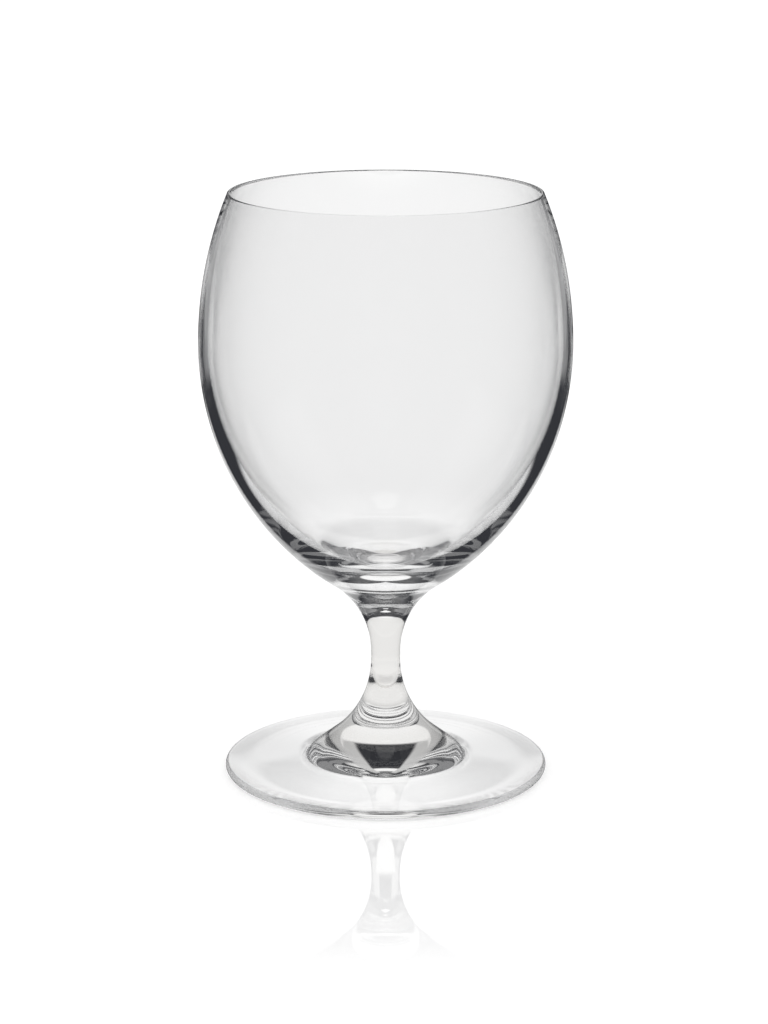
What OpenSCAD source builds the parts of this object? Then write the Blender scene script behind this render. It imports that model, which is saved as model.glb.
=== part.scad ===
// Stemmed beer glass: a blown bowl, a drawn stem and a pressed foot, fused hot
// one onto the next. Every piece is turned about the vertical axis, so each
// module is one closed outline, swept round. Sizes are in millimetres, the table
// is at z = 0.

/* [Bowl] */
// Height of the glass, from the table to the top of the rim
glass_height = 158; // [152:0.5:164]
// Outside diameter of the rim
rim_d = 83; // [78:0.5:88]
// Outside diameter of the widest ring
bowl_d = 99; // [95:0.5:103]
// Height of the widest ring above the table
widest_h = 117.4; // [113:0.2:122]
// Radius of the side that sweeps in below the widest ring
side_r = 78; // [74:0.5:84]
// Thickness of the fire-polished rim
rim_wall = 1.1; // [0.8:0.1:1.6]
// Thickness of the wall at the widest ring
belly_wall = 2.4; // [2:0.1:2.8]
// How much tighter the hollow's side curves than the outside: the wall thickens downwards
side_gain = 9.3; // [8:0.1:10.5]
// Radius of the hollow's turn, from its side to its bottom
turn_r = 10.5; // [8:0.5:13]
// Radius of the hollow's bottom
well_r = 71.5; // [64:0.5:80]
// Height of the bottom of the hollow above the table
well_h = 60; // [58:0.5:63]

/* [Stem] */
// Diameter of the waist, the thinnest place
waist_d = 7.9; // [7:0.1:9.5]
// Length of the straight waist
waist_len = 1.8; // [0.5:0.1:4]
// Radius of the curve from the waist up into the bowl
neck_r = 23.8; // [21:0.2:27]
// Height of the seam where the bowl is fused to the stem
bowl_seam_h = 44; // [41:0.5:47]

/* [Foot] */
// Diameter of the foot
foot_d = 87.5; // [80:0.5:95]
// Thickness of the rounded edge
edge_thick = 2.3; // [1.8:0.1:3]
// Slope of the plate, in degrees
plate_slope = 6; // [4:0.5:8]
// Slope of the cone between the plate and the stem, in degrees
cone_slope = 37; // [33:1:41]
// Radius of the curve from the cone up into the waist
flare_r = 26; // [23:0.5:28]
// Radius of the curve where the cone meets the plate
toe_r = 9; // [5:0.5:13]
// Height of the seam where the stem is fused to the foot
foot_seam_h = 19; // [16:0.5:22]
// Width of the flat ring that rests on the table
rest_width = 5; // [3:0.5:7]
// Depth of the hollow under the foot, at its centre
under_depth = 2.9; // [2:0.1:3.6]

/* [Hidden] */
$fn = 72;

// Points on an arc about a centre, from angle a0 to a1 in n steps
function arc(c, r, a0, a1, n) =
    [for (i = [0:n]) let (a = a0 + (a1 - a0) * i / n) [c[0] + r * cos(a), c[1] + r * sin(a)]];

// Angle of the direction from point a to point b
function aim(a, b) = atan2(b[1] - a[1], b[0] - a[0]);

// Outer one of the two points at distance ra from point a and rb from point b
function meet(a, ra, b, rb) =
    let (d = norm(b - a), u = (b - a) / d, along = (ra * ra - rb * rb + d * d) / (2 * d))
    a + along * u + sqrt(ra * ra - along * along) * [u[1], -u[0]];

// Curves joined into one outline, each meeting point kept once
function outline(p) = [for (i = [0:len(p) - 1]) if (i == 0 || norm(p[i] - p[i - 1]) > 0.001) p[i]];

// Widest ring, outside and inside
belly_r = bowl_d / 2;
belly_in = belly_r - belly_wall;

// Rim: a full round, with the wall's two arcs touching it
bead_r = rim_wall / 2;
bead = [rim_d / 2 - bead_r, glass_height - bead_r];
rise = bead[1] - widest_h;
lean_out = belly_r - bead[0];
lean_in = belly_in - bead[0];
upper_out = (lean_out * lean_out + rise * rise - bead_r * bead_r) / (2 * (lean_out - bead_r));
upper_in = (lean_in * lean_in + rise * rise - bead_r * bead_r) / (2 * (lean_in + bead_r));
rim_out = atan2(rise, upper_out - lean_out);
rim_in = atan2(rise, upper_in - lean_in);

// Hollow below the widest ring: its side, turn and bottom are arcs that touch in turn
hollow_r = side_r - side_gain;
hollow_c = [belly_in - hollow_r, widest_h];
well_c = [0, well_h + well_r];
turn_c = meet(hollow_c, hollow_r - turn_r, well_c, well_r - turn_r);
turn_start = aim(hollow_c, turn_c);
turn_end = aim(well_c, turn_c);

// Side of the bowl, and the neck curve that touches both it and the waist
waist_r = waist_d / 2;
side_c = [belly_r - side_r, widest_h];
neck_x = waist_r + neck_r;
neck_h = widest_h - sqrt(pow(side_r + neck_r, 2) - pow(neck_x - side_c[0], 2));
neck_c = [neck_x, neck_h];
neck_end = aim(neck_c, side_c);
neck_seam = 180 - asin((bowl_seam_h - neck_h) / neck_r);

// Flare from the waist down to the cone
flare_h = neck_h - waist_len;
flare_c = [waist_r + flare_r, flare_h];
flare_seam = 270 - acos((flare_h - foot_seam_h) / flare_r);

// Edge of the foot, the line of its plate and the line of its cone
edge_r = edge_thick / 2;
edge_c = [foot_d / 2 - edge_r, edge_r];
lip = edge_c + edge_r * [sin(plate_slope), cos(plate_slope)];
heel = flare_c - flare_r * [sin(cone_slope), cos(cone_slope)];
bend_x = (heel[1] - lip[1] + heel[0] * tan(cone_slope) - lip[0] * tan(plate_slope))
    / (tan(cone_slope) - tan(plate_slope));
bend = [bend_x, lip[1] + (lip[0] - bend_x) * tan(plate_slope)];
toe_len = toe_r * tan((cone_slope - plate_slope) / 2);
toe_c = bend + toe_len * [cos(plate_slope), -sin(plate_slope)]
    + toe_r * [sin(plate_slope), cos(plate_slope)];

// Underside: a shallow dome inside the ring that rests on the table
rest_out = edge_c[0];
rest_in = rest_out - rest_width;
dome_r = (rest_in * rest_in + under_depth * under_depth) / (2 * under_depth);
dome_c = [0, under_depth - dome_r];
dome_end = asin(rest_in / dome_r);

// Blown bowl: thin at the rim, thicker down to a solid base
module bowl() {
    color([0.80, 0.88, 0.92])
    rotate_extrude()
    polygon(outline(concat(
        [[0, bowl_seam_h]],
        arc(neck_c, neck_r, neck_seam, neck_end, 5),
        arc(side_c, side_r, neck_end - 180, 0, 16),
        arc([belly_r - upper_out, widest_h], upper_out, 0, rim_out, 9),
        arc(bead, bead_r, rim_out, rim_in + 180, 6),
        arc([belly_in - upper_in, widest_h], upper_in, rim_in, 0, 9),
        arc(hollow_c, hollow_r, 0, turn_start, 14),
        arc(turn_c, turn_r, turn_start, turn_end, 7),
        arc(well_c, well_r, turn_end, -90, 4)
    )));
}

// Drawn stem: a waist between two flared ends
module stem() {
    color([0.72, 0.84, 0.90])
    rotate_extrude()
    polygon(outline(concat(
        [[0, foot_seam_h]],
        arc(flare_c, flare_r, flare_seam, 180, 7),
        arc(neck_c, neck_r, 180, neck_seam, 7),
        [[0, bowl_seam_h]]
    )));
}

// Pressed foot: a cone that runs out into a thin round plate
module foot() {
    color([0.76, 0.86, 0.90])
    rotate_extrude()
    polygon(outline(concat(
        arc(dome_c, dome_r, 90, 90 - dome_end, 6),
        arc(edge_c, edge_r, -90, 90 - plate_slope, 8),
        arc(toe_c, toe_r, 270 - plate_slope, 270 - cone_slope, 6),
        arc(flare_c, flare_r, 270 - cone_slope, flare_seam, 4),
        [[0, foot_seam_h]]
    )));
}

bowl();
stem();
foot();
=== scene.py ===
# %% [markdown]
# # A stemmed beer glass
# The object is one clear glass on a white table: a blown bowl, a drawn stem and a pressed foot, fused hot
# one onto the next. Nothing on it is painted or printed, so all that the eye gets is light bent by the
# glass. This lesson therefore spends its care on two things: outlines that are smooth enough to refract
# well, and a studio for the glass to look into.

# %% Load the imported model
import math

import bmesh
import bpy
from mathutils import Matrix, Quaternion, Vector


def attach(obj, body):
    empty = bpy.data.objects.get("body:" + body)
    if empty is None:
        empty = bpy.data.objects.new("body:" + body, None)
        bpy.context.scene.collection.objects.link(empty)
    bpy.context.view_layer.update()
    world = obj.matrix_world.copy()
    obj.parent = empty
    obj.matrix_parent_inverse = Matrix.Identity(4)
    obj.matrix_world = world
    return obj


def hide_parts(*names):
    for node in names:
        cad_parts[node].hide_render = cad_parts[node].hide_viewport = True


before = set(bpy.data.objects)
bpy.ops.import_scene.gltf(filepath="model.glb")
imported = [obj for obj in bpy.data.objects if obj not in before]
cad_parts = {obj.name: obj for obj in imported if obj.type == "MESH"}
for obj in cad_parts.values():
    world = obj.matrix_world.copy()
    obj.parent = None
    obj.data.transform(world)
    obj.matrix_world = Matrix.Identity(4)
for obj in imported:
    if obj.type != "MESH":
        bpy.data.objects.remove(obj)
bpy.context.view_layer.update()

scene = bpy.context.scene
MM = 0.001

# %% [markdown]
# ## The camera
# The photograph was taken with a long lens, from a little above the rim. Its height and distance follow from
# how far the rim and the foot, two level circles, are flattened into ellipses. A camera is best placed before
# anything else, because every later choice is compared with the photograph through it.

# %% Camera
PHOTO_HEIGHT_PX = 1024
AXIS_OFFSET_PX = 1.7
LENS_MM = 106
SENSOR_MM = 36
camera_distance = 782.7 * MM
camera_height = 273.6 * MM
camera_pitch = math.radians(14.47)

camera = bpy.data.objects.new("camera", bpy.data.cameras.new("camera"))
camera.data.lens = LENS_MM
camera.data.sensor_width = SENSOR_MM
camera.location = (0, -camera_distance, camera_height)
focal_px = LENS_MM / SENSOR_MM * PHOTO_HEIGHT_PX
turn_aside = Quaternion((0, 0, 1), math.atan(AXIS_OFFSET_PX / focal_px))
tilt_down = Quaternion((1, 0, 0), math.pi / 2 - camera_pitch)
camera.rotation_mode = "QUATERNION"
camera.rotation_quaternion = turn_aside @ tilt_down
scene.collection.objects.link(camera)
scene.camera = camera
print("focal length in pixels:", round(focal_px, 1))

# %% [markdown]
# ## The drawing of the glass
# Each piece is a body of revolution, so one outline says all of it. Glass shows every kink: a polygon with
# corners would refract as rings. The outlines are therefore drawn as arcs that touch each other, from the
# same few sizes as the solids, and cut into short steps of equal turn. Radius and height are in millimetres.

# %% Sizes
glass_height, rim_d, rim_wall = 158, 83, 1.1
bowl_d, widest_h, side_r, belly_wall = 99, 117.4, 78, 2.4
side_gain, turn_r, well_r, well_h = 9.3, 10.5, 71.5, 60
waist_d, waist_len, neck_r, bowl_seam_h = 7.9, 1.8, 23.8, 44
foot_d, edge_thick, rest_width, under_depth = 87.5, 2.3, 5, 2.9
flare_r, toe_r, foot_seam_h = 26, 9, 19
plate_slope, cone_slope = math.radians(6), math.radians(37)
STEP = math.radians(1.5)


def point(radius, height):
    """A point of an outline: distance from the axis, and height."""
    return Vector((radius, height))


def toward(angle):
    """The direction at an angle, measured from the outward horizontal."""
    return point(math.cos(angle), math.sin(angle))


def aim(start, end):
    """The angle of the direction from one point to another."""
    return math.atan2(end.y - start.y, end.x - start.x)


def arc(centre, radius, start, end):
    """Points along an arc: at least two steps, none of which turns by more than STEP."""
    steps = max(2, math.ceil(abs(end - start) / STEP))
    return [centre + radius * toward(start + (end - start) * i / steps) for i in range(steps + 1)]


print("glass in mm:", glass_height, "high,", bowl_d, "wide,", foot_d, "across the foot")

# %% [markdown]
# ### Outline of the bowl
# From the seam at the stem the outside sweeps out in the neck curve, up the side to the widest ring and in
# again to the rim, which is a full round because it was melted smooth. The hollow follows inside, closer at
# the top than at the bottom, and leaves a solid base. That thick base is what draws the dark and bright bands
# above the stem.

# %% Bowl outline
belly_out = bowl_d / 2
belly_in = belly_out - belly_wall
bead_r = rim_wall / 2
bead = point(rim_d / 2 - bead_r, glass_height - bead_r)


def upper_wall(belly, bead_side):
    """Centre, radius and end angle of the wall's arc from the widest ring up to the rim bead."""
    lean, rise = belly - bead.x, bead.y - widest_h
    radius = (lean ** 2 + rise ** 2 - bead_r ** 2) / (2 * (lean - bead_side * bead_r))
    centre = point(belly - radius, widest_h)
    return centre, radius, aim(centre, bead)


outer_c, outer_r, outer_end = upper_wall(belly_out, 1)
inner_c, inner_r, inner_end = upper_wall(belly_in, -1)

waist_r = waist_d / 2
side_c = point(belly_out - side_r, widest_h)
neck_x = waist_r + neck_r
neck_h = widest_h - math.sqrt((side_r + neck_r) ** 2 - (neck_x - side_c.x) ** 2)
neck_c = point(neck_x, neck_h)
neck_seam = math.pi - math.asin((bowl_seam_h - neck_h) / neck_r)
neck_end = aim(neck_c, side_c)

# The turn touches the hollow's side and its bottom, so its centre lies at known distances from both centres
hollow_r = side_r - side_gain
hollow_c = point(belly_in - hollow_r, widest_h)
well_c = point(0, well_h + well_r)
apart = (well_c - hollow_c).length
reach_side, reach_well = hollow_r - turn_r, well_r - turn_r
along = (reach_side ** 2 - reach_well ** 2 + apart ** 2) / (2 * apart)
across = math.sqrt(reach_side ** 2 - along ** 2)
line = (well_c - hollow_c) / apart
turn_c = hollow_c + along * line + across * point(line.y, -line.x)
turn_start, turn_end = aim(hollow_c, turn_c), aim(well_c, turn_c)

bowl_outline = (
    [point(0, bowl_seam_h)]
    + arc(neck_c, neck_r, neck_seam, neck_end)
    + arc(side_c, side_r, neck_end - math.pi, 0)
    + arc(outer_c, outer_r, 0, outer_end)
    + arc(bead, bead_r, outer_end, inner_end + math.pi)
    + arc(inner_c, inner_r, inner_end, 0)
    + arc(hollow_c, hollow_r, 0, turn_start)
    + arc(turn_c, turn_r, turn_start, turn_end)
    + arc(well_c, well_r, turn_end, -math.pi / 2)
)
print("bowl outline:", len(bowl_outline), "points; solid base in mm:", well_h - bowl_seam_h)

# %% [markdown]
# ### Outlines of the stem and the foot
# The stem is drawn out of the same hot glass, so it has no edge anywhere: the neck curve runs down into a
# short waist, and the waist into the flare of the foot. The foot is pressed flat while it spins, with a
# shallow hollow underneath, and stands on a narrow ring.

# %% Stem and foot outlines
flare_h = neck_h - waist_len
flare_c = point(waist_r + flare_r, flare_h)
flare_seam = 1.5 * math.pi - math.acos((flare_h - foot_seam_h) / flare_r)

edge_r = edge_thick / 2
edge_c = point(foot_d / 2 - edge_r, edge_r)
lip_a = math.pi / 2 - plate_slope
lip = edge_c + edge_r * toward(lip_a)
heel_a = 1.5 * math.pi - cone_slope
heel = flare_c + flare_r * toward(heel_a)
cone_rise, plate_rise = math.tan(cone_slope), math.tan(plate_slope)
bend_x = (heel.y - lip.y + heel.x * cone_rise - lip.x * plate_rise) / (cone_rise - plate_rise)
bend = point(bend_x, lip.y + (lip.x - bend_x) * plate_rise)
toe_len = toe_r * math.tan((cone_slope - plate_slope) / 2)
toe_c = bend + toe_len * toward(-plate_slope) + toe_r * toward(lip_a)

rest_in = edge_c.x - rest_width
dome_r = (rest_in ** 2 + under_depth ** 2) / (2 * under_depth)
dome_c = point(0, under_depth - dome_r)
dome_end = math.pi / 2 - math.asin(rest_in / dome_r)

stem_outline = (
    [point(0, foot_seam_h)]
    + arc(flare_c, flare_r, flare_seam, math.pi)
    + arc(neck_c, neck_r, math.pi, neck_seam)
    + [point(0, bowl_seam_h)]
)
foot_outline = (
    arc(dome_c, dome_r, math.pi / 2, dome_end)
    + arc(edge_c, edge_r, -math.pi / 2, lip_a)
    + arc(toe_c, toe_r, lip_a + math.pi, heel_a)
    + arc(flare_c, flare_r, heel_a, flare_seam)
    + [point(0, foot_seam_h)]
)
print("stem outline:", len(stem_outline), "points; foot outline:", len(foot_outline), "points")

# %% [markdown]
# ## Turning the pieces
# A lathe sweeps an outline round the axis. Blender's spin does the same with a row of vertices. Two things
# matter for glass. The mesh has to be closed, so that a ray that goes in also comes out. And the flat discs
# where two pieces are fused must not be seen, because the real glass has no surface there: those faces get a
# slot of their own.

# %% Lathe
CM = 0.01
TURNS = 256
WELD = 1e-4 * MM
SHORTEST_STEP_MM = 0.002
SEAM_TOLERANCE_MM = 0.001


def lathe(name, outline, seam_heights):
    """A closed piece of revolution. Flat faces at a seam's height take the second material slot."""
    bm = bmesh.new()
    steps = zip(outline, outline[1:])
    kept = outline[:1] + [p for before, p in steps if (p - before).length > SHORTEST_STEP_MM]
    row = [bm.verts.new((max(p.x, 0) * MM, 0, p.y * MM)) for p in kept]
    edges = [bm.edges.new(pair) for pair in zip(row, row[1:])]
    bmesh.ops.spin(
        bm, geom=row + edges, axis=(0, 0, 1), angle=2 * math.pi, steps=TURNS, use_merge=True)
    bmesh.ops.remove_doubles(bm, verts=bm.verts, dist=WELD)
    bmesh.ops.recalc_face_normals(bm, faces=bm.faces)
    for face in bm.faces:
        level = face.calc_center_median().z / MM
        is_seam = any(abs(level - h) < SEAM_TOLERANCE_MM for h in seam_heights)
        face.material_index = int(is_seam)
        face.smooth = not is_seam
    for edge in bm.edges:
        edge.smooth = len({f.material_index for f in edge.link_faces}) == 1
    open_edges = sum(not e.is_manifold for e in bm.edges)
    volume = bm.calc_volume() / CM ** 3
    mesh = bpy.data.meshes.new(name)
    bm.to_mesh(mesh)
    bm.free()
    piece = bpy.data.objects.new(name, mesh)
    scene.collection.objects.link(piece)
    print(f"{name}: {len(mesh.polygons)} faces, {open_edges} open edges, {volume:.1f} cm3")
    return piece


print("lathe:", TURNS, "steps round the axis")

# %% [markdown]
# ## Nodes and colours
# Materials here are node trees. One function adds a node, sets what it is given and links the sockets it is
# given, so a material reads as a list of what goes into what. Colours are written as they look on a screen,
# in sRGB hex, and turned into the linear values that a renderer adds up.

# %% Node and colour helpers


def add(tree, kind, inputs=None, **settings):
    """Adds one shader node. An input is a plain value, or a socket to link from."""
    node = tree.nodes.new("ShaderNode" + kind)
    for name, value in settings.items():
        setattr(node, name, value)
    for name, value in (inputs or {}).items():
        if isinstance(value, bpy.types.NodeSocket):
            tree.links.new(value, node.inputs[name])
        else:
            node.inputs[name].default_value = value
    return node


def linear(hex_colour):
    """Linear RGBA of an sRGB hex colour."""
    parts = [int(hex_colour[i:i + 2], 16) / 255 for i in (1, 3, 5)]
    return [c / 12.92 if c <= 0.04045 else ((c + 0.055) / 1.055) ** 2.4 for c in parts] + [1]


def empty_tree(owner):
    """The node tree of a material or a world, with nothing in it."""
    owner.use_nodes = True
    owner.node_tree.nodes.clear()
    return owner.node_tree


WHITE = "#FFFFFF"
print("a middle grey of #808080 is", round(linear("#808080")[0], 3), "in linear light")

# %% [markdown]
# ## Clear glass
# Drinking glasses are clear soda-lime glass: refractive index about 1.52, no colour to speak of in a thin
# wall and a faint grey where it is thick, near the axis. The bowl is blown and the stem drawn, so both carry
# faint waves from the flow of the hot glass, and the foot is pressed and then melted smooth in the flame. The
# waves are far too shallow to see as such. They show where a bright and a dark stretch meet, as an edge that
# isn't quite drawn with a ruler.

# %% Glass materials
GLASS_IOR = 1.52
WARM_GREY = "#F1F0EE"
WAVE_DEPTH_MM = 0.004
TINT_FADE_MM = 8
LEAST_TINT, MOST_TINT = 0.8, 1.2


def clear_glass(name, wave_mm, stretch, tint_reach_mm):
    """Soda-lime glass with slow waves, wave_mm apart round the axis and stretched along it, faintly grey
    within a distance from the axis, where the glass is thick."""
    material = bpy.data.materials.new(name)
    tree = empty_tree(material)
    place = add(tree, "TexCoord").outputs["Object"]
    spread = add(tree, "Mapping", {"Vector": place, "Scale": (1, 1, 1 / stretch)}).outputs[0]
    waves = add(tree, "TexNoise", {
        "Vector": spread, "Scale": 1 / (wave_mm * MM), "Detail": 1.0,
    }).outputs["Fac"]
    bump = add(tree, "Bump", {"Height": waves, "Distance": WAVE_DEPTH_MM * MM, "Strength": 1.0})
    level = add(tree, "Mapping", {"Vector": place, "Scale": (1, 1, 0)}).outputs[0]
    radius = add(tree, "VectorMath", {0: level}, operation="LENGTH").outputs["Value"]
    thick = add(tree, "MapRange", {
        "Value": radius, "From Min": tint_reach_mm * MM, "From Max": (tint_reach_mm + TINT_FADE_MM) * MM,
        "To Min": 1.0, "To Max": 0.0,
    }, interpolation_type="SMOOTHSTEP").outputs[0]
    uneven = add(tree, "MapRange", {"Value": waves, "To Min": LEAST_TINT, "To Max": MOST_TINT}).outputs[0]
    share = add(tree, "Math", {0: thick, 1: uneven}, operation="MULTIPLY", use_clamp=True).outputs[0]
    tint = add(tree, "Mix", {"Factor": share}, data_type="RGBA")
    tint.inputs["A"].default_value = linear(WHITE)
    tint.inputs["B"].default_value = linear(WARM_GREY)
    glass = add(tree, "BsdfPrincipled", {
        "Base Color": tint.outputs["Result"], "Roughness": 0.0, "IOR": GLASS_IOR,
        "Transmission Weight": 1.0, "Normal": bump.outputs[0],
    })
    add(tree, "OutputMaterial", {"Surface": glass.outputs[0]})
    return material


blown_glass = clear_glass("blown_soda_lime_glass", wave_mm=18, stretch=3, tint_reach_mm=0)
drawn_glass = clear_glass("drawn_soda_lime_glass", wave_mm=9, stretch=6, tint_reach_mm=14)
pressed_glass = clear_glass("pressed_soda_lime_glass", wave_mm=12, stretch=1, tint_reach_mm=14)

# A fused seam is no surface at all, so its material lets everything through
fused_seam = bpy.data.materials.new("fused_seam")
seam_tree = empty_tree(fused_seam)
nothing = add(seam_tree, "BsdfPrincipled", {"Alpha": 0.0})
add(seam_tree, "OutputMaterial", {"Surface": nothing.outputs[0]})
print("glass materials:", blown_glass.name, drawn_glass.name, pressed_glass.name)

# %% [markdown]
# ## The three pieces
# Each piece takes the place of its solid and rides on the one body that the glass has.

# %% Bowl, stem and foot
PIECES = (
    ("bowl", "blown_bowl", bowl_outline, [bowl_seam_h], blown_glass),
    ("stem", "drawn_stem", stem_outline, [foot_seam_h, bowl_seam_h], drawn_glass),
    ("foot", "pressed_foot", foot_outline, [foot_seam_h], pressed_glass),
)
for node, name, outline, seams, glass in PIECES:
    piece = lathe(name, outline, seams)
    piece.data.materials.append(glass)
    piece.data.materials.append(fused_seam)
    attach(piece, "root")
    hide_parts(node)

# %% [markdown]
# ## The table
# The glass stands on a white, polished acrylic sheet that runs out of the picture. The studio lights it, and
# it keeps the soft shadow of the glass. For the camera alone it glows a little, which lifts it to the
# photograph's white. To match the photograph, its mirror image of the glass starts at the edge of the foot,
# is stronger there than clean acrylic would make it, and fades away from the glass. Rays inside the glass
# don't meet the sheet: they look straight at the studio, whose lower half stands for the table.

# %% Table top
TABLE_HALF = 8.0
TABLE_GAP = 0.3 * MM
corner_signs = ((-1, -1), (1, -1), (1, 1), (-1, 1))
corners = [(x * TABLE_HALF, y * TABLE_HALF, -TABLE_GAP) for x, y in corner_signs]
table_mesh = bpy.data.meshes.new("table_top")
table_mesh.from_pydata(corners, [], [(0, 1, 2, 3)])
table_top = bpy.data.objects.new("table_top", table_mesh)
scene.collection.objects.link(table_top)
table_top.visible_transmission = False
table_top.visible_glossy = False
print("table top:", 2 * TABLE_HALF, "m wide")

# %% White acrylic sheet
SHEET_WHITE = "#E7E7E7"
SHEET_IOR = 1.45
SHEET_ROUGHNESS = 0.012
CAMERA_GLOW = 0.34
IMAGE_START_MM, IMAGE_FULL_MM = 45, 52
FADE_START_MM, FADE_END_MM = 105, 150
NEAR_STRENGTH, FAR_STRENGTH = 1.9, 0.2

white_acrylic = bpy.data.materials.new("white_acrylic_sheet")
tree = empty_tree(white_acrylic)
to_camera = add(tree, "LightPath").outputs["Is Camera Ray"]
lit = add(tree, "BsdfDiffuse", {"Color": linear(SHEET_WHITE)})
lift = add(tree, "Math", {0: to_camera, 1: CAMERA_GLOW}, operation="MULTIPLY")
glow = add(tree, "Emission", {"Color": linear(WHITE), "Strength": lift.outputs[0]})
matt = add(tree, "AddShader", {0: lit.outputs[0], 1: glow.outputs[0]})
gloss = add(tree, "BsdfGlossy", {"Color": linear(WHITE), "Roughness": SHEET_ROUGHNESS})
fresnel = add(tree, "Fresnel", {"IOR": SHEET_IOR})
place = add(tree, "TexCoord").outputs["Object"]
radius = add(tree, "VectorMath", {0: place}, operation="LENGTH").outputs["Value"]
polish = add(tree, "MapRange", {
    "Value": radius, "From Min": FADE_START_MM * MM, "From Max": FADE_END_MM * MM,
    "To Min": NEAR_STRENGTH, "To Max": FAR_STRENGTH,
}).outputs[0]
outside_foot = add(tree, "MapRange", {
    "Value": radius, "From Min": IMAGE_START_MM * MM, "From Max": IMAGE_FULL_MM * MM,
}).outputs[0]
polish = add(tree, "Math", {0: polish, 1: outside_foot}, operation="MULTIPLY").outputs[0]
share = add(tree, "Math", {0: fresnel.outputs[0], 1: polish}, operation="MULTIPLY", use_clamp=True)
sheet = add(tree, "MixShader", {0: share.outputs[0], 1: matt.outputs[0], 2: gloss.outputs[0]})
add(tree, "OutputMaterial", {"Surface": sheet.outputs[0]})
table_mesh.materials.append(white_acrylic)
print("mirror image of the glass: from", IMAGE_START_MM, "mm, weak beyond", FADE_END_MM, "mm")

# %% [markdown]
# ## The pool of light under the glass
# A lit glass throws light onto the table it stands on. Light that is turned about inside the stem and the
# foot sees that bright patch from close by. A disc that only such light can see stands for it, as a painted
# pool of light that glows though it is no lamp: white under the stem, fading under the plate into the foot's
# painted shadow, white again round the foot and fading out.

# %% Pool of light
POOL_R = 100 * MM
POOL_SIDES = 128
pool_mesh = bpy.data.meshes.new("light_pool")
bm = bmesh.new()
bmesh.ops.create_circle(bm, cap_ends=True, segments=POOL_SIDES, radius=POOL_R)
bm.to_mesh(pool_mesh)
bm.free()
light_pool = bpy.data.objects.new("light_pool", pool_mesh)
light_pool.location.z = -2 * TABLE_GAP
scene.collection.objects.link(light_pool)
light_pool.visible_camera = light_pool.visible_diffuse = light_pool.visible_shadow = False
print("pool of light:", round(2 * POOL_R / MM), "mm wide")

# %% Light on the sheet
# Each fade: its name, the radii in mm where it starts and ends, and the brightness before and after it
POOL_FADES = (
    ("under_stem", (10, 40), (1, 0)),
    ("plate_edge", (38, 46), (0, 1)),
    ("round_foot", (46, 90), (1, 0)),
)
# A ray's depth counts whole events, so a depth above this one means at least one of them
ONE_EVENT = 0.5

pool_light = bpy.data.materials.new("light_on_acrylic_sheet")
tree = empty_tree(pool_light)
ray = add(tree, "LightPath").outputs
place = add(tree, "TexCoord").outputs["Object"]
radius = add(tree, "VectorMath", {0: place}, operation="LENGTH").outputs["Value"]
fade = {}
for part, (start, end), (before, after) in POOL_FADES:
    fade[part] = add(tree, "MapRange", {
        "Value": radius, "From Min": start * MM, "From Max": end * MM, "To Min": before, "To Max": after,
    }, interpolation_type="SMOOTHSTEP").outputs[0]
ring = add(tree, "Math", {0: fade["plate_edge"], 1: fade["round_foot"]}, operation="MULTIPLY")
share = add(tree, "Math", {0: fade["under_stem"], 1: ring.outputs[0]}, operation="MAXIMUM").outputs[0]
for depth in (ray["Glossy Depth"], ray["Transmission Depth"]):
    turned = add(tree, "Math", {0: depth, 1: ONE_EVENT}, operation="GREATER_THAN").outputs[0]
    share = add(tree, "Math", {0: share, 1: turned}, operation="MULTIPLY").outputs[0]
unseen = add(tree, "BsdfTransparent", {"Color": linear(WHITE)})
# The glow is the painted pool of light, and where the fades leave it dim under the plate it is the foot's
# painted shadow
bright = add(tree, "Emission", {"Color": linear(WHITE), "Strength": 1.0})
patch = add(tree, "MixShader", {0: share, 1: unseen.outputs[0], 2: bright.outputs[0]})
add(tree, "OutputMaterial", {"Surface": patch.outputs[0]})
pool_mesh.materials.append(pool_light)
print("parts of the pool:", ", ".join(fade))

# %% [markdown]
# ## The studio
# Clear glass is photographed in a bright field: a white backdrop behind it, and a dark room everywhere else.
# Light that goes straight through shows the backdrop. Light that is turned aside at the edges and in the
# thick base shows the dark room, and draws the glass in dark lines. The studio is a dark shell with white and
# grey cards in it. Every place on the shell is a direction: its azimuth, 0 behind the glass and 180 at the
# camera and the same to both sides, and its elevation.

# %% Studio directions
world = bpy.data.worlds.new("bright_field_studio")
scene.world = world
world.cycles.sampling_method = "NONE"
tree = empty_tree(world)
direction = add(tree, "SeparateXYZ", {0: add(tree, "TexCoord").outputs["Generated"]})
side = add(tree, "Math", {0: direction.outputs["X"], 1: direction.outputs["Y"]}, operation="ARCTAN2")
azimuth = add(tree, "Math", {0: side.outputs[0]}, operation="ABSOLUTE").outputs[0]
elevation = add(tree, "Math", {0: direction.outputs["Z"]}, operation="ARCSINE").outputs[0]
print("world:", world.name)

# %% [markdown]
# ### The cards
# A card is a range of directions with soft edges. With a slant, its azimuth limits move by that many degrees
# for each degree of elevation, so the card leans. Light that was only refracted sees one field, white all
# round and dark only above, so that the glass is clear from every side. Light that was reflected inside the
# glass sees single cards, and light mirrored by its outside sees cards of its own. Where most cards stand
# comes from a search with traced rays, for places that bring the bands in the glass near the photograph's.
# Its results were then put into round steps: 5 degrees, quarters of slant and tenths of brightness.

# %% Studio cards
SOFT_EDGE = 2
# No angle reaches this limit, so a card has no edge there
OPEN = 200
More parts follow.
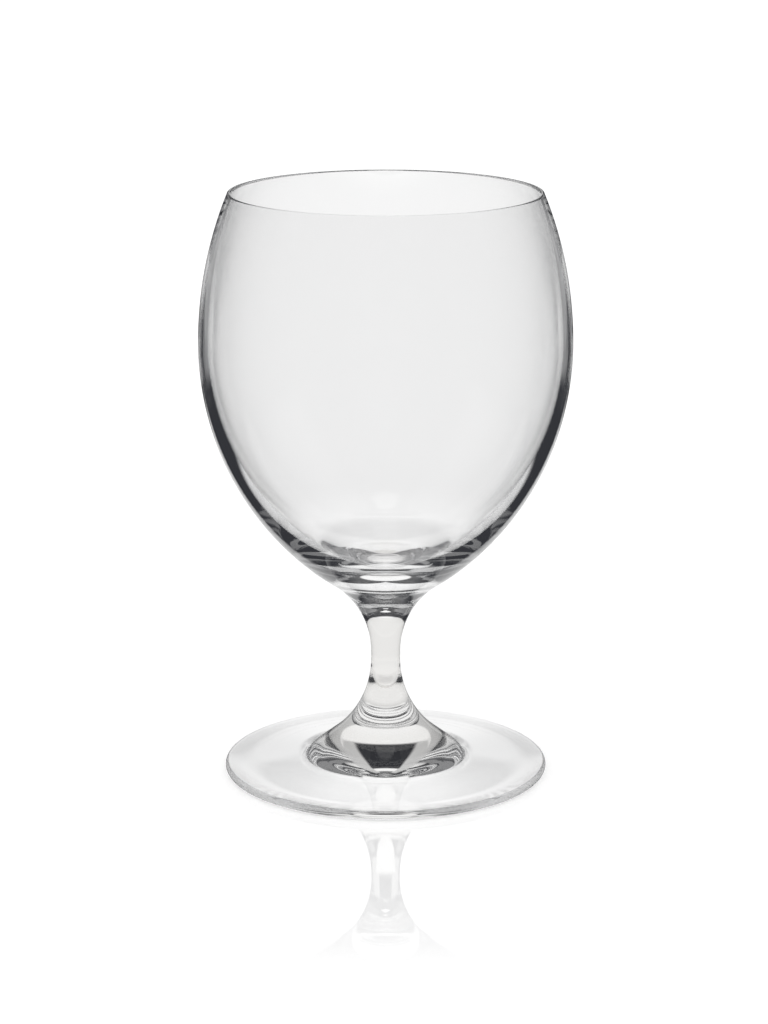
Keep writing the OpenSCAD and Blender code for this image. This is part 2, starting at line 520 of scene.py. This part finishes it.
# Each card: its name, the light that sees it, azimuth limits, elevation limits, slant and brightness
CARDS = (
    ("bright_field", "refracted", (-OPEN, OPEN), (-OPEN, 25), 0, 1.0),
    ("window", "reflected", (-OPEN, 20), (-OPEN, 20), 0.75, 1.0),
    ("side_box", "reflected", (20, 55), (5, 60), 0, 0.6),
    ("top_card", "reflected", (-OPEN, 10), (45, 55), 0.25, 1.0),
    ("zenith_card", "reflected", (-OPEN, 15), (70, 80), 0, 1.0),
    ("wall_card", "reflected", (25, 45), (-15, 0), 0, 0.3),
    ("table_behind", "reflected", (-OPEN, 35), (-45, -30), 0, 1.0),
    ("front_ceiling", "reflected", (135, OPEN), (75, OPEN), 0, 1.0),
    ("grey_side", "reflected", (55, 115), (15, 75), 0, 0.2),
    ("mirror_window", "mirrored", (-OPEN, 15), (-OPEN, -15), -0.25, 1.0),
    ("mirror_backdrop", "mirrored", (-OPEN, 5), (-25, 80), 0, 0.8),
    ("mirror_side", "mirrored", (20, 40), (-10, 10), -1.5, 0.4),
)
field = {}
for name, seen_by, across, upright, slant, brightness in CARDS:
    card = brightness
    leaning = add(tree, "Math", {0: elevation, 1: -slant, 2: azimuth}, operation="MULTIPLY_ADD").outputs[0]
    for angle, (start, end) in ((leaning, across), (elevation, upright)):
        for edge, before, after in ((start, 0, 1), (end, 1, 0)):
            ramp = add(tree, "MapRange", {
                "Value": angle, "To Min": before, "To Max": after,
                "From Min": math.radians(edge - SOFT_EDGE), "From Max": math.radians(edge + SOFT_EDGE),
            }, interpolation_type="SMOOTHSTEP")
            card = add(tree, "Math", {0: card, 1: ramp.outputs[0]}, operation="MULTIPLY").outputs[0]
    brightest = field.get(seen_by, 0.0)
    field[seen_by] = add(tree, "Math", {0: brightest, 1: card}, operation="MAXIMUM").outputs[0]
print("studio cards:", ", ".join(card[0] for card in CARDS))

# %% [markdown]
# ### What each ray sees
# A ray counts how often it was reflected and how often it went through a surface. The two counts tell the
# three kinds of light apart. The camera, the sheet's matt surface and the sheet's gloss see plain white. The
# sheet's gloss is a little rough, and the glass is perfectly sharp, which Cycles calls singular, so the
# difference of two ray flags leaves the sheet's gloss alone.

# %% Studio light
DARK_ROOM = "#343539"
ray = add(tree, "LightPath").outputs
happened = {}
for event in ("Glossy", "Transmission", "Diffuse"):
    depth = ray[event + " Depth"]
    happened[event] = add(tree, "Math", {0: depth, 1: ONE_EVENT}, operation="GREATER_THAN").outputs[0]
turned = add(tree, "Mix", {"Factor": happened["Transmission"]}, data_type="FLOAT")
tree.links.new(field["mirrored"], turned.inputs["A"])
tree.links.new(field["reflected"], turned.inputs["B"])
seen = add(tree, "Mix", {"Factor": happened["Glossy"]}, data_type="FLOAT")
tree.links.new(field["refracted"], seen.inputs["A"])
tree.links.new(turned.outputs["Result"], seen.inputs["B"])
glossy, sharp = ray["Is Glossy Ray"], ray["Is Singular Ray"]
sheet_gloss = add(tree, "Math", {0: glossy, 1: sharp}, operation="SUBTRACT").outputs[0]
white = seen.outputs["Result"]
for plain in (ray["Is Camera Ray"], happened["Diffuse"], sheet_gloss):
    white = add(tree, "Math", {0: white, 1: plain}, operation="MAXIMUM").outputs[0]
colour = add(tree, "Mix", {"Factor": white}, data_type="RGBA")
colour.inputs["A"].default_value = linear(DARK_ROOM)
colour.inputs["B"].default_value = linear(WHITE)
shell = add(tree, "Background", {"Color": colour.outputs["Result"], "Strength": 1.0})
add(tree, "OutputWorld", {"Surface": shell.outputs[0]})
print("kinds of light:", ", ".join(field))

# %% [markdown]
# ## Render settings
# Light that gets into the thin upper wall at a glancing angle runs to and fro in it many times before it
# comes out. With a low limit of bounces it is lost on the way, and the wall's edge goes black there, so the
# limit is high. The Standard view shows colours as they are written.

# %% Render settings
LIGHT_BOUNCES = 256
TRANSPARENT_BOUNCES = 32
scene.view_settings.view_transform = "Standard"
scene.cycles.max_bounces = LIGHT_BOUNCES
scene.cycles.transmission_bounces = LIGHT_BOUNCES
scene.cycles.glossy_bounces = LIGHT_BOUNCES
scene.cycles.transparent_max_bounces = TRANSPARENT_BOUNCES
print("bounce limit:", scene.cycles.max_bounces)
